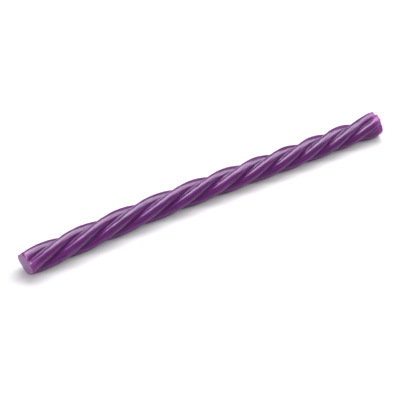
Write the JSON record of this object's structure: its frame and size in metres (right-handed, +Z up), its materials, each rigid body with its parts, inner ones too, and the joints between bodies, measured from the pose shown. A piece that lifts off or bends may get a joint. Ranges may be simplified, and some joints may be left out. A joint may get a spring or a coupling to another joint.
{
  "type": "grape candy rope",
  "caption": "Twisted stick of purple chewy candy: round strands fused into a fluted rope, cut flat at one end and sprung apart at the other.",
  "frame": {"origin": "middle of the footprint, on the surface the stick lies on", "axes": "+X along the stick from its flat cut end to its spread end, +Z up, +Y completes the right-handed frame"},
  "size_m": [0.2018, 0.0154, 0.0122],
  "materials": {
    "grape_candy": "smooth, moist gloss with faint streaks along the strands"
  },
  "bodies": {
    "root": {"candy_rope": "grape_candy"}
  },
  "joints": []
}
